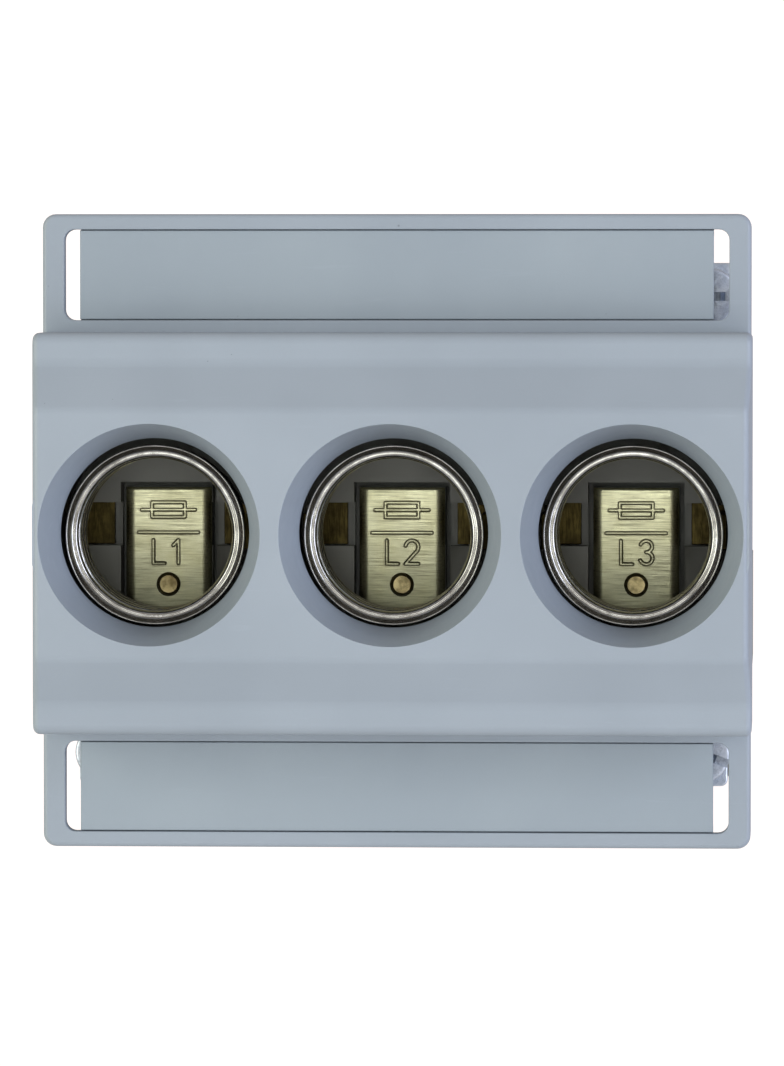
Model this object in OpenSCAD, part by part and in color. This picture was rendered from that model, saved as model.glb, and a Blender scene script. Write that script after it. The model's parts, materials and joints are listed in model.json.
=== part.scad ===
// Three-pole D02 fuse base for a 35 mm top-hat rail, with its cover fitted.
// X runs across the poles, Z is up and the front faces -Y.
// The origin is the centre of the rail seat. Pole 1 is at -X and pole 3 at +X.

/* [Poles] */
// Distance between neighbouring pole centres
pole_pitch = 27; // [26.8:0.1:27.1]
// Inner diameter of the thread shell at its crests
thread_minor_d = 17.1; // [17:0.05:17.2]
// Inner diameter of the thread shell at its roots
thread_major_d = 18.6; // [18.4:0.1:18.6]
// Distance between two thread turns
thread_pitch = 3; // [2.9:0.05:3]

/* [Cover] */
// Distance from the rail seat to the front face
front_depth = 56; // [55.5:0.1:56.5]
// Width across the ledges of the raised section
cover_w = 80.8; // [80.8:0.1:81.2]
// Overall height across both window frames
cover_h = 72; // [71.6:0.1:72.4]
// Height of the raised centre section
raised_h = 45.2; // [45:0.1:45.2]
// Height of the flat front face
flat_h = 28; // [27:0.5:29]
// Diameter of a socket opening at the front face
opening_d = 24.9; // [24.5:0.1:25.2]
// Diameter of a socket opening at its throat
throat_d = 21.3; // [21.1:0.1:21.5]
// Width of a window in an end frame
window_w = 75.5; // [75:0.1:75.6]
// Height of a window in an end frame
window_h = 10.3; // [10:0.1:10.4]
// Width of a marking strip
strip_w = 72; // [71:0.5:73]

/* [Terminals] */
// Distance between the two screws of a terminal
screw_spacing = 15.8; // [15.6:0.1:16]
// Height of the terminal screws above and below the rail centre
screw_z = 26.6; // [26.4:0.1:26.8]
// Sideways offset of the upper terminals, and of the lower ones the other way
terminal_shift = 0.4; // [0:0.1:0.4]
// Diameter of a terminal screw's thread
screw_d = 5; // [4.8:0.1:5]

/* [Rail] */
// Width of the mounting rail
rail_w = 35; // [34.8:0.1:35]
// Sideways position of the two rail latches
latch_x = 20; // [18:0.5:22]

/* [Hidden] */
$fn = 64;

// Small overlap that keeps a cut from ending on a face
eps = 0.5;

// Levels along Y, from the front to the back
front_y = -front_depth;
ledge_y = front_y + 3.2;
throat_y = front_y + 8.8;
rim_y = front_y + 8.5;
frame_y = front_y + 14;
block_front_y = front_y + 9.6;
side_split_y = front_y + 22;
shelf_y = rim_y + 11.2;
contact_y = front_y + 27;
floor_y = contact_y + 0.4;

// Cover
raised_wall = 1.6;
frame_wall = 1.2;
frame_front_wall = 2;
frame_w = cover_w - 0.3;
shoulder_fillet = 1.2;
inner_fillet = 0.2;
side_fillet = 0.8;
side_draft = 0.35;
tongue_inset = 0.3;
slope_h = 5.2;
slope_end_z = flat_h / 2 + slope_h;
front_corner_share = 0.3;
ledge_corner_share = 0.6;
frame_corner_r = 1.5;
collar_wall = 1.1;
wall_inner_x = cover_w / 2 - raised_wall;
window_edge = 1.75;
window_z = cover_h / 2 - window_edge - window_h / 2;
window_corner_r = 1.2;
strip_gap = 0.1;
strip_recess = 0.3;
strip_t = 1.2;
strip_rib_t = 1;
strip_rib_z = 2.6;
window_lip_reach = 0.8;
window_lip_root = 1;
window_lip_t = 0.8;
tongue_z = [6, 14];
tongue_y = side_split_y + 7;

// Base body
strip_metal_t = 1.5;
bar_y = front_y + 46;
block_w = 77.2;
side_w = 79.2;
block_h = 41.2;
cover_gap = 0.4;
side_gap = 0.2;
terminal_floor_w = 77.4;
terminal_end_z = 30;
well_r = 11.1;
lower_well_r = 9.3;
partition_t = 1.8;
partition_y = front_y + 30;
plate_y = bar_y + strip_metal_t;
seat_relief = 0.3;
seat_half_z = 16;
side_rib_w = 80.8;
side_rib_z = [-15.5, -3.3];
side_rib_y = [-32, -8];

// Conductors
bar_w = 21.8;
riser_z = block_h / 2 + 0.1;
contact_w = 9.9;
contact_top_z = 4.6;
contact_hole_z = -6.6;
contact_screw_r = 1;
contact_sink_r = 1.4;
contact_sink_depth = 0.5;
contact_head_r = 2.1;
contact_head_y = contact_y + 7;
contact_head_t = 1.6;
contact_slot_w = 0.6;
head_gap = 0.5;
mark_w = 0.35;
mark_depth = 0.2;
symbol_z = 2;
symbol_half = [2.6, 1.1];
symbol_line_half = 3.6;
mark_bar_z = -0.6;
mark_bar_half = 3.45;
channel_z = [-2, 2.7];
foot_inner_x = 6.35;
foot_outer_x = 10.5;
foot_y = floor_y + 1.4;
foot_t = 1.2;
strap_step = 1.6;
contact_side_gap = 0.6;
fork_web_z = 10;
leg_t = 0.8;
leg_front_y = rim_y + 5;
fit_gap = 0.15;

// Thread shell
sheet_t = 0.4;
rim_side_gap = 0.5;
rim_round = 0.3;
rim_t = 0.8;
rim_slope = 0.2;
first_turn = 1.2;
crest_end = 0.3;
root_start = 0.5;
root_end = 0.8;
shell_facets = 96;

// Terminals
clamp_t = 1.6;
clamp_h = 7.8;
clamp_corner_r = 0.8;
clamp_groove_z = [-2, 0, 2];
clamp_groove_half = 4.5;
clamp_groove_w = 0.8;
clamp_y = front_y + 37.4;
head_r = 3.3;
head_h = 2.6;
slot_w = 1;
slot_depth = 0.8;
cross_half = 2;
cross_depth = 1.4;
screw_tip_y = -6;
nut_t = 3;
nut_w = 21;
nut_h = 6.4;
thread_gap = 0.05;
clamp_hole_r = screw_d / 2 + 0.2;

// Rail latch and hooks
hook_depth = 4.8;
hook_reach = 1.3;
flange_gap = 1.3;
hook_w = 64;
hook_gap = 0.2;
hook_t = 5;
guide_lip = 1.6;
guide_z = [-terminal_end_z, -rail_w / 2 - 0.7];
guide_back_y = 5.6;
latch_w = 18;
latch_t = 3;
latch_y = 1.3;
latch_z = [-34.5, -rail_w / 2 + hook_reach];
latch_gap = 0.1;
latch_window_w = 6.4;
latch_window_top_z = -20.8;
lug_z = [-terminal_end_z, -28.4];
lug_w = 5.8;
lug_gap = 0.05;
latch_chamfer = 1.2;
latch_eye_w = 6;
latch_eye_z = [latch_z[0] + 1.2, latch_z[0] + 3];
spring_r = 1.1;
spring_wire_r = 0.2;
spring_turns = 6;
spring_steps = 14;
spring_sides = 8;
spring_gap = 0.02;

// ---------- helpers ----------

// Arc of points about c, from angle a0 to a1
function arc(c, r, a0, a1, n = 6) =
    [for (i = [0:n]) let (a = a0 + (a1 - a0) * i / n) [c[0] + r * cos(a), c[1] + r * sin(a)]];

function rounded_rect(w, h, r) = concat(
    arc([w / 2 - r, h / 2 - r], r, 0, 90),
    arc([-w / 2 + r, h / 2 - r], r, 90, 180),
    arc([-w / 2 + r, -h / 2 + r], r, 180, 270),
    arc([w / 2 - r, -h / 2 + r], r, 270, 360)
);

// Limits that lie the same distance on each side of c
function about(c, half) = [c - half, c + half];

// Box between two limits on each axis
module span(x, y, z) {
    translate([x[0], y[0], z[0]]) cube([x[1] - x[0], y[1] - y[0], z[1] - z[0]]);
}

// Round bar along Y, or a cone where r_back is given
module rod(x, z, r_front, y, r_back = undef) {
    translate([x, y[0], z])
        rotate([-90, 0, 0])
            cylinder(h = y[1] - y[0], r1 = r_front, r2 = is_undef(r_back) ? r_front : r_back);
}

// Extrude a front-view outline between two levels of Y
module front_extrude(y) {
    translate([0, y[1], 0]) rotate([90, 0, 0]) linear_extrude(y[1] - y[0]) children();
}

// Extrude a side-view outline, drawn as [y, z], to half a width each way
module side_extrude(w) {
    translate([-w / 2, 0, 0]) rotate([90, 0, 90]) linear_extrude(w) children();
}

// Place children at pole n, which is 1, 2 or 3
module at_pole(n) {
    translate([(n - 2) * pole_pitch, 0, 0]) children();
}

module at_each_pole() {
    for (n = [1:3]) at_pole(n) children();
}

// Upper end as drawn, or the lower end as its mirror image
module at_end(side) {
    mirror([0, 0, side < 0 ? 1 : 0]) children();
}

function screw_x(side, which) = side * terminal_shift + which * screw_spacing / 2;

// ---------- cover ----------

// Side-view outline of the raised section, set in by a wall thickness
function raised_outline(inset, y_back) = let (
    top = raised_h / 2 - inset,
    ledge = ledge_y + inset,
    front = front_y + inset,
    ledge_z = slope_end_z - inset * ledge_corner_share,
    front_z = flat_h / 2 - inset * front_corner_share,
    r = max(shoulder_fillet - inset, inner_fillet)
) concat(
    [[y_back, top]],
    arc([ledge + r, top - r], r, 90, 180),
    [[ledge, ledge_z], [front, front_z], [front, -front_z], [ledge, -ledge_z]],
    arc([ledge + r, -top + r], r, 180, 270),
    [[y_back, -top]]
);

// Top-view outline of the raised section, with rounded front edges
function plan_outline(half, y_back) = let (
    front_half = half - side_draft,
    r = side_fillet
) concat(
    [[half, y_back]],
    arc([front_half - r, front_y + r], r, 0, -90),
    arc([-front_half + r, front_y + r], r, -90, -180),
    [[-half, y_back]]
);

module raised_skin() {
    intersection() {
        side_extrude(cover_w) polygon(raised_outline(0, side_split_y));
        translate([0, 0, -cover_h / 2])
            linear_extrude(cover_h)
                polygon(plan_outline(cover_w / 2, side_split_y));
    }
}

// Front, slopes, ledges and the upper and lower walls as one bent sheet, without its sides
module wall_sheet() {
    difference() {
        raised_skin();
        side_extrude(cover_w + 1) polygon(raised_outline(raised_wall, side_split_y + eps));
    }
}

// Tapered socket openings, grown by a wall thickness and drawn past both ends by over
module socket_cones(wall, over) {
    taper = (opening_d - throat_d) / 2 / (throat_y - front_y);
    at_each_pole()
        rod(0, 0,
            opening_d / 2 + wall + taper * over,
            [front_y - over, throat_y + over],
            throat_d / 2 + wall - taper * over);
}

module cover_front() {
    color([0.66, 0.70, 0.73])
        difference() {
            intersection() {
                wall_sheet();
                span(about(0, cover_w), [front_y - eps, throat_y], about(0, flat_h / 2));
            }
            socket_cones(0, eps);
        }
}

// Funnels from the openings back to the thread shells
module socket_collars() {
    color([0.66, 0.70, 0.73])
        difference() {
            intersection() {
                socket_cones(collar_wall, 0);
                span(about(0, wall_inner_x), [front_y + raised_wall, throat_y + eps], about(0, flat_h / 2));
            }
            socket_cones(0, eps);
        }
}

module cover_shoulders() {
    color([0.66, 0.70, 0.73])
        for (side = [-1, 1])
            at_end(side)
                intersection() {
                    wall_sheet();
                    span(about(0, cover_w), [front_y - eps, side_split_y + eps], [flat_h / 2, cover_h]);
                }
}

// Side walls of the raised section, each with a tongue that snaps into the base
module cover_sides() {
    color([0.66, 0.70, 0.73])
        for (s = [0, 1])
            mirror([s, 0, 0]) {
                difference() {
                    intersection() {
                        raised_skin();
                        side_extrude(cover_w + 1) polygon(raised_outline(raised_wall, side_split_y + eps));
                        span([wall_inner_x, cover_w], [front_y, side_split_y + eps], about(0, raised_h));
                    }
                    socket_cones(0, eps);
                }
                span([wall_inner_x, cover_w / 2 - tongue_inset], [side_split_y - eps, tongue_y], tongue_z);
            }
}

// Frames above and below the raised section, each with a window for a marking strip
module cover_frames() {
    color([0.66, 0.70, 0.73])
        for (side = [-1, 1])
            at_end(side) {
                difference() {
                    front_extrude([frame_y, side_split_y])
                        intersection() {
                            polygon(rounded_rect(frame_w, cover_h, frame_corner_r));
                            translate([-cover_w, block_h / 2 + cover_gap]) square([2 * cover_w, cover_h]);
                        }
                    span(about(0, frame_w / 2 - frame_wall),
                         [frame_y + frame_front_wall, side_split_y + eps],
                         about(0, cover_h / 2 - frame_wall));
                    span(about(0, cover_w), [frame_y - eps, side_split_y], about(0, raised_h / 2));
                    translate([0, 0, window_z])
                        front_extrude([frame_y - eps, frame_y + frame_front_wall + eps])
                            polygon(rounded_rect(window_w, window_h, window_corner_r));
                }
                window_lips();
            }
}

// Lips behind the long edges of a window that the marking strip rests on
module window_lips() {
    y = [frame_y + strip_recess + strip_t, frame_y + frame_front_wall + window_lip_t];
    translate([0, 0, window_z])
        for (s = [0, 1])
            mirror([0, 0, s])
                span(about(0, strip_w / 2),
                     y,
                     [window_h / 2 - window_lip_reach, window_h / 2 + window_lip_root]);
}

// Upper or lower marking strip, a flat plate with two stiffening ribs behind it
module marking_strip(side) {
    strip_h = window_h - 2 * strip_gap;
    face = frame_y + strip_recess;
    color([0.64, 0.69, 0.72])
        at_end(side)
            translate([0, 0, window_z]) {
                span(about(0, strip_w / 2), [face, face + strip_t], about(0, strip_h / 2));
                for (s = [-1, 1])
                    span(about(0, strip_w / 2 - 2),
                         [face + strip_t, face + strip_t + strip_rib_t],
                         about(s * strip_rib_z, strip_rib_t / 2));
            }
}

// ---------- base body ----------

// Well and shell seat of one pole
module well_bores() {
    rod(0, 0, well_r, [block_front_y - eps, shelf_y]);
    rod(0, 0, lower_well_r, [shelf_y - eps, floor_y + eps]);
}

// Pockets for the contact and the strap of one pole
module pole_pockets() {
    strap_y = [foot_y - fit_gap, foot_y + foot_t + fit_gap];
    for (s = [0, 1])
        mirror([s, 0, 0]) {
            span([foot_inner_x - strap_step, foot_outer_x + fit_gap],
                 [shelf_y - eps, strap_y[1]],
                 [channel_z[0] - fit_gap, channel_z[1] + fit_gap]);
            span([foot_inner_x - fit_gap, foot_outer_x + fit_gap],
                 strap_y,
                 [channel_z[0] - fit_gap, block_h / 2 + eps]);
        }
    span(about(0, foot_outer_x + fit_gap),
         strap_y,
         [fork_web_z - fit_gap, block_h / 2 + eps]);
    span(about(0, contact_w / 2 + contact_side_gap),
         [contact_y - eps, contact_y + strip_metal_t],
         [-lower_well_r, contact_top_z + contact_side_gap]);
    span(about(0, contact_w / 2 + fit_gap),
         [contact_y - fit_gap, contact_y + strip_metal_t],
         [-block_h / 2 - eps, 0]);
}

// Hole from the contact to the rail seat for the contact's screw and its head
module contact_screw_hole() {
    rod(0, contact_hole_z, contact_screw_r + thread_gap, [contact_y, eps]);
    rod(0, contact_hole_z, contact_head_r + head_gap, [contact_head_y, eps]);
}

// Slots in the sides of the base that take the cover's tongues
module tongue_slots() {
    for (s = [0, 1])
        mirror([s, 0, 0])
            span([wall_inner_x - fit_gap, cover_w],
                 [side_split_y - eps, tongue_y + fit_gap],
                 [tongue_z[0] - fit_gap, tongue_z[1] + fit_gap]);
}

// Part of the moulding around one well, in front of the level of the well's floor
module well_block(n) {
    pole_x = (n - 2) * pole_pitch;
    color([0.55, 0.58, 0.59])
        difference() {
            intersection() {
                union() {
                    span(about(0, block_w / 2), [block_front_y, floor_y], about(0, block_h / 2));
                    span(about(0, side_w / 2), [side_split_y + side_gap, floor_y], about(0, block_h / 2));
                }
                span([n > 1 ? pole_x - pole_pitch / 2 : -cover_w, n < 3 ? pole_x + pole_pitch / 2 : cover_w],
                     [block_front_y - eps, floor_y + eps],
                     about(0, cover_h));
            }
            at_pole(n) {
                well_bores();
                pole_pockets();
            }
            tongue_slots();
        }
}

// Solid middle of the moulding, behind the wells
module base_core() {
    color([0.55, 0.58, 0.59])
        difference() {
            span(about(0, side_w / 2), [floor_y, plate_y], about(0, block_h / 2));
            at_each_pole() {
                pole_pockets();
                contact_screw_hole();
            }
            tongue_slots();
        }
}

module side_ribs() {
    color([0.55, 0.58, 0.59])
        for (s = [0, 1])
            mirror([s, 0, 0]) span([side_w / 2, side_rib_w / 2], side_rib_y, side_rib_z);
}

module terminal_partitions() {
    color([0.55, 0.58, 0.59])
        for (side = [-1, 1], x = [-1, 1] * pole_pitch / 2)
            at_end(side)
                span(about(x, partition_t / 2), [partition_y, plate_y], [block_h / 2, terminal_end_z]);
}

// Nut pocket and screw-tip holes of one terminal
module terminal_pockets(side) {
    at_end(side) {
        translate([side * terminal_shift, 0, screw_z])
            span(about(0, nut_w / 2 + fit_gap),
                 [bar_y, plate_y + nut_t],
                 about(0, nut_h / 2 + fit_gap));
        for (which = [-1, 1])
            rod(screw_x(side, which), screw_z, clamp_hole_r, [bar_y, latch_y - latch_gap]);
    }
}

// Back of the moulding, with the terminal floors and the raised seat for the rail
module base_plate() {
    back_y = -seat_relief;
    color([0.55, 0.58, 0.59])
        difference() {
            union() {
                span(about(0, side_w / 2), [plate_y, back_y], about(0, block_h / 2));
                span(about(0, terminal_floor_w / 2), [plate_y, back_y], about(0, terminal_end_z));
                span(about(0, side_w / 2), [plate_y, 0], about(0, seat_half_z));
            }
            at_each_pole() {
                contact_screw_hole();
                for (side = [-1, 1]) terminal_pockets(side);
            }
        }
}

// Fixed hooks that hold the rail's upper flange
module rail_hooks() {
    z0 = rail_w / 2 + hook_gap;
    color([0.55, 0.58, 0.59]) {
        span(about(0, hook_w / 2), [-seat_relief, hook_depth], [z0, z0 + hook_t]);
        span(about(0, hook_w / 2), [flange_gap, hook_depth], [rail_w / 2 - hook_reach, z0 + 1]);
    }
}

// Guides behind the lower end that the latches slide in, each with a lug for its spring
module latch_guides() {
    slot_y = [latch_y - latch_gap, latch_y + latch_t + latch_gap];
    slot_z = [guide_z[0] - eps, guide_z[1] + eps];
    color([0.55, 0.58, 0.59])
        difference() {
            span(about(0, hook_w / 2), [-seat_relief, guide_back_y], guide_z);
            for (x = [-1, 1] * latch_x)
                difference() {
                    union() {
                        span(about(x, latch_w / 2 + latch_gap), slot_y, slot_z);
                        span(about(x, latch_w / 2 - guide_lip), [latch_y, guide_back_y + eps], slot_z);
                    }
                    span(about(x, lug_w / 2), [0, guide_back_y + 2 * eps], lug_z);
                }
            at_each_pole() terminal_pockets(-1);
        }
}

// ---------- conductors ----------

// Half of the shell's wall along Y, as [radius, y] points with flat crests and roots
function shell_side(r_crest, r_root, y0) = [
    for (turn = [0:2])
        each [
            [r_crest, y0 + turn * thread_pitch],
            [r_crest, y0 + (turn + crest_end) * thread_pitch],
            [r_root, y0 + (turn + root_start) * thread_pitch],
            [r_root, y0 + (turn + root_end) * thread_pitch]
        ],
    [r_crest, y0 + 3 * thread_pitch],
    [r_crest, shelf_y]
];

// Rolled thread shell with a turned-over rim
module thread_shell(n) {
    minor = thread_minor_d / 2;
    major = thread_major_d / 2;
    first = rim_y + first_turn;
    inner = shell_side(minor, major, first);
    outer = shell_side(minor + sheet_t, major + sheet_t, first);
    rim_r = throat_d / 2 - rim_side_gap;
    color([0.80, 0.80, 0.78])
        at_pole(n)
            rotate([-90, 0, 0])
                rotate_extrude($fn = shell_facets)
                    polygon(concat(
                        [[minor, rim_y], [rim_r - rim_round, rim_y]],
                        [[rim_r, rim_y + rim_round], [rim_r, rim_y + rim_t]],
                        [[minor + sheet_t, rim_y + rim_t + rim_slope]],
                        outer,
                        [for (i = [len(inner) - 1:-1:0]) inner[i]]
                    ));
}

// Forked raw-brass strap from the thread shell to the upper terminal
module shell_strap(n) {
    prong_x = [foot_inner_x, foot_outer_x];
    leg_x = thread_major_d / 2 + sheet_t;
    foot = [foot_y, foot_y + foot_t];
    bar = [bar_y, bar_y + strip_metal_t];
    riser = [riser_z, riser_z + strip_metal_t];
    color([0.72, 0.60, 0.33])
        at_pole(n)
            difference() {
                union() {
                    for (s = [0, 1])
                        mirror([s, 0, 0]) {
                            span(prong_x, foot, [channel_z[0], riser_z]);
                            span([leg_x, leg_x + leg_t], [leg_front_y, foot[1]], about(0, -channel_z[0]));
                        }
                    span(about(0, foot_outer_x), foot, [fork_web_z, riser[1]]);
                    span(about(0, foot_outer_x), [foot_y, bar[1]], riser);
                    translate([terminal_shift, 0, 0])
                        span(about(0, bar_w / 2), bar, [riser_z, terminal_end_z]);
                }
                for (which = [-1, 1])
                    rod(screw_x(1, which), screw_z, clamp_hole_r, [bar[0] - eps, bar[1] + eps]);
            }
}

// Stamped marks on the contact: a fuse symbol above a bar
module contact_marks() {
    depth = [contact_y - eps, contact_y + mark_depth];
    difference() {
        span(about(0, symbol_half[0]), depth, about(symbol_z, symbol_half[1]));
        span(about(0, symbol_half[0] - mark_w),
             [depth[0] - eps, depth[1] + eps],
             about(symbol_z, symbol_half[1] - mark_w));
    }
    span(about(0, symbol_line_half), depth, about(symbol_z, mark_w / 2));
    span(about(0, mark_bar_half), depth, about(mark_bar_z, mark_w / 2));
}

// Nickel-plated centre contact, stepped down to the lower terminal
module bottom_contact(n) {
    pad = [contact_y, contact_y + strip_metal_t];
    bar = [bar_y, bar_y + strip_metal_t];
    riser = [-riser_z - strip_metal_t, -riser_z];
    color([0.78, 0.78, 0.70])
        at_pole(n)
            difference() {
                union() {
                    span(about(0, contact_w / 2), pad, [riser[0], contact_top_z]);
                    span(about(0, contact_w / 2), [pad[0], bar[1]], riser);
                    translate([-terminal_shift, 0, 0])
                        span(about(0, bar_w / 2), bar, [-terminal_end_z, -riser_z]);
                }
                contact_marks();
                rod(0, contact_hole_z, contact_screw_r + thread_gap, [pad[0], pad[1] + eps]);
                rod(0, contact_hole_z, contact_sink_r, [pad[0] - eps, pad[0] + contact_sink_depth]);
                for (which = [-1, 1])
                    rod(screw_x(-1, which), -screw_z, clamp_hole_r, [bar[0] - eps, bar[1] + eps]);
            }
}

// Brass screws that hold the centre contacts from behind
module contact_screws() {
    back_y = contact_head_y + contact_head_t;
    color([0.75, 0.62, 0.33])
        at_each_pole()
            difference() {
                union() {
                    rod(0, contact_hole_z, contact_screw_r, [contact_y + fit_gap, contact_head_y + eps]);
                    rod(0, contact_hole_z, contact_head_r, [contact_head_y, back_y]);
                }
                span(about(0, contact_head_r + eps),
                     [back_y - contact_head_t / 2, back_y + eps],
                     about(contact_hole_z, contact_slot_w / 2));
            }
}

// ---------- terminals ----------

module terminal_nuts() {
    nut_y = [plate_y, plate_y + nut_t];
    bore_r = screw_d / 2 + thread_gap;
    color([0.70, 0.72, 0.73])
        at_each_pole()
            for (side = [-1, 1])
                at_end(side)
                    difference() {
                        translate([side * terminal_shift, 0, screw_z])
                            span(about(0, nut_w / 2), nut_y, about(0, nut_h / 2));
                        for (which = [-1, 1])
                            rod(screw_x(side, which), screw_z, bore_r, [nut_y[0] - eps, nut_y[1] + eps]);
                    }
}

// Saddle plate of one terminal, with a grooved back that grips the conductor
module clamp_plate(n, side) {
    back_y = clamp_y + clamp_t;
    bore_r = screw_d / 2 + thread_gap;
    color([0.74, 0.75, 0.76])
        at_pole(n)
            at_end(side)
                difference() {
                    translate([side * terminal_shift, 0, screw_z])
                        front_extrude([clamp_y, back_y])
                            polygon(rounded_rect(bar_w, clamp_h, clamp_corner_r));
                    for (which = [-1, 1])
                        rod(screw_x(side, which), screw_z, bore_r, [clamp_y - eps, back_y + eps]);
                    for (z = clamp_groove_z)
                        span(about(0, clamp_groove_half),
                             [back_y - clamp_groove_w / 2, back_y + eps],
                             about(screw_z + z, clamp_groove_w / 2));
                }
}

// Terminal screw with a slotted cross recess
module terminal_screw(n, side, which) {
    head_y = clamp_y - head_h;
    color([0.78, 0.79, 0.81])
        at_pole(n)
            at_end(side)
                translate([screw_x(side, which), 0, screw_z])
                    difference() {
                        union() {
                            rod(0, 0, head_r, [head_y, clamp_y]);
                            rod(0, 0, screw_d / 2, [clamp_y - eps, screw_tip_y]);
                        }
                        for (turn = [0, 90])
                            rotate([0, turn, 0])
                                span(about(0, cross_half),
                                     [head_y - eps, head_y + cross_depth],
                                     about(0, slot_w / 2));
                        span(about(0, head_r + eps),
                             [head_y - eps, head_y + slot_depth],
                             about(0, slot_w / 2));
                    }
}

// ---------- rail latches ----------

// Sliding latch with a hooked lip above and a screwdriver eye below
module rail_latch(side) {
    color([0.25, 0.27, 0.28])
        translate([side * latch_x, 0, 0])
            difference() {
                side_extrude(latch_w)
                    polygon([
                        [latch_y, latch_z[0]],
                        [latch_y + latch_t, latch_z[0]],
                        [latch_y + latch_t, latch_z[1] - latch_chamfer],
                        [latch_y + latch_t - latch_chamfer, latch_z[1]],
                        [latch_y, latch_z[1]]
                    ]);
                span(about(0, latch_window_w / 2),
                     [0, latch_y + latch_t + eps],
                     [lug_z[0] - lug_gap, latch_window_top_z]);
                span(about(0, latch_eye_w / 2), [0, latch_y + latch_t + eps], latch_eye_z);
            }
}

// Compression spring between the base's lug and the latch's window
module latch_spring(side) {
    ring_count = spring_turns * spring_steps;
    end_gap = spring_wire_r + spring_gap;
    spring_z = [lug_z[1] + end_gap, latch_window_top_z - end_gap];
    axis_y = latch_y + latch_t / 2;
    rise = (spring_z[1] - spring_z[0]) / ring_count;
    points = [
        for (i = [0:ring_count], k = [0:spring_sides - 1])
            let (
                turn = 360 * spring_turns * i / ring_count,
                a = 360 * k / spring_sides,
                r = spring_r + spring_wire_r * cos(a)
            )
                [r * cos(turn), r * sin(turn), spring_z[0] + rise * i + spring_wire_r * sin(a)]
    ];
    faces = concat(
        [[for (k = [0:spring_sides - 1]) k]],
        [for (i = [0:ring_count - 1], k = [0:spring_sides - 1])
            let (here = i * spring_sides, next = here + spring_sides, k2 = (k + 1) % spring_sides)
                [here + k, next + k, next + k2, here + k2]],
        [[for (k = [spring_sides - 1:-1:0]) ring_count * spring_sides + k]]
    );
    color([0.70, 0.70, 0.70])
        translate([side * latch_x, axis_y, 0]) polyhedron(points, faces, convexity = 10);
}

well_block(1);  // well_block_1
well_block(2);  // well_block_2
well_block(3);  // well_block_3
base_core();
base_plate();
side_ribs();
terminal_partitions();
rail_hooks();
latch_guides();
cover_front();
socket_collars();
cover_shoulders();
cover_sides();
cover_frames();
marking_strip(1);  // upper_marking_strip
marking_strip(-1);  // lower_marking_strip
thread_shell(1);  // thread_shell_1
thread_shell(2);  // thread_shell_2
thread_shell(3);  // thread_shell_3
shell_strap(1);  // shell_strap_1
shell_strap(2);  // shell_strap_2
shell_strap(3);  // shell_strap_3
bottom_contact(1);  // bottom_contact_1
bottom_contact(2);  // bottom_contact_2
bottom_contact(3);  // bottom_contact_3
contact_screws();
terminal_nuts();
clamp_plate(1, 1);  // upper_clamp_1
clamp_plate(2, 1);  // upper_clamp_2
clamp_plate(3, 1);  // upper_clamp_3
clamp_plate(1, -1);  // lower_clamp_1
clamp_plate(2, -1);  // lower_clamp_2
clamp_plate(3, -1);  // lower_clamp_3
terminal_screw(1, 1, -1);  // upper_screw_1a
terminal_screw(1, 1, 1);  // upper_screw_1b
terminal_screw(2, 1, -1);  // upper_screw_2a
terminal_screw(2, 1, 1);  // upper_screw_2b
terminal_screw(3, 1, -1);  // upper_screw_3a
terminal_screw(3, 1, 1);  // upper_screw_3b
terminal_screw(1, -1, -1);  // lower_screw_1a
terminal_screw(1, -1, 1);  // lower_screw_1b
terminal_screw(2, -1, -1);  // lower_screw_2a
terminal_screw(2, -1, 1);  // lower_screw_2b
terminal_screw(3, -1, -1);  // lower_screw_3a
terminal_screw(3, -1, 1);  // lower_screw_3b
rail_latch(-1);  // rail_latch_left
rail_latch(1);  // rail_latch_right
latch_spring(-1);  // latch_spring_left
latch_spring(1);  // latch_spring_right
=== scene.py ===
"""Looks of the three-pole fuse base: moulded cover, rolled thread shells, stamped contacts and terminals."""
import json
import math

import bmesh
import bpy
import numpy as np
from mathutils import Matrix, Vector, noise


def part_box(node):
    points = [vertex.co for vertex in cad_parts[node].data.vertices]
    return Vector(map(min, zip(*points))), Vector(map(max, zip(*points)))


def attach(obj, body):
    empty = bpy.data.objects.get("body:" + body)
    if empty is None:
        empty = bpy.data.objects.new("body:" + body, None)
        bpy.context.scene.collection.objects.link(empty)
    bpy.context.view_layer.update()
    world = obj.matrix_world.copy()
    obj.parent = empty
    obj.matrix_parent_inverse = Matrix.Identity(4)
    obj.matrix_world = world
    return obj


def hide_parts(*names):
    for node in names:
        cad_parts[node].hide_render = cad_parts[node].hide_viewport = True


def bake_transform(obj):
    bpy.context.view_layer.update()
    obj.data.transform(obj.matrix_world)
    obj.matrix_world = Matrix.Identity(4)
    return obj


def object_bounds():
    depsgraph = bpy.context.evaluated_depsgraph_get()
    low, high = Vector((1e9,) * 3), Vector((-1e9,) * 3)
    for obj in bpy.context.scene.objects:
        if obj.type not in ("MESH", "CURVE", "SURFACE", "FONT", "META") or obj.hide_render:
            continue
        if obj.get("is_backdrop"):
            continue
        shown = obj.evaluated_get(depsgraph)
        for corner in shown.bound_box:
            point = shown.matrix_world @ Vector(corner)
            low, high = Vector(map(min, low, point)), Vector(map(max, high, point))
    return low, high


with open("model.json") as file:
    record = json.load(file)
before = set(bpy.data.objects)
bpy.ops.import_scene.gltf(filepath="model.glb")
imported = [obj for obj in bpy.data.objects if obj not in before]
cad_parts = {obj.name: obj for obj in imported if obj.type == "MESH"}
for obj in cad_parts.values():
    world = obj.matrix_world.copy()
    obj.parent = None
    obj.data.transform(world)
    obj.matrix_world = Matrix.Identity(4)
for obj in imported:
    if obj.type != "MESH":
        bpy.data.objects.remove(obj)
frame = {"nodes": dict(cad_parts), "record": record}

CAD_BOX = [list(corner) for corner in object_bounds()]
MM = 0.001
POLES = (1, 2, 3)
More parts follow.
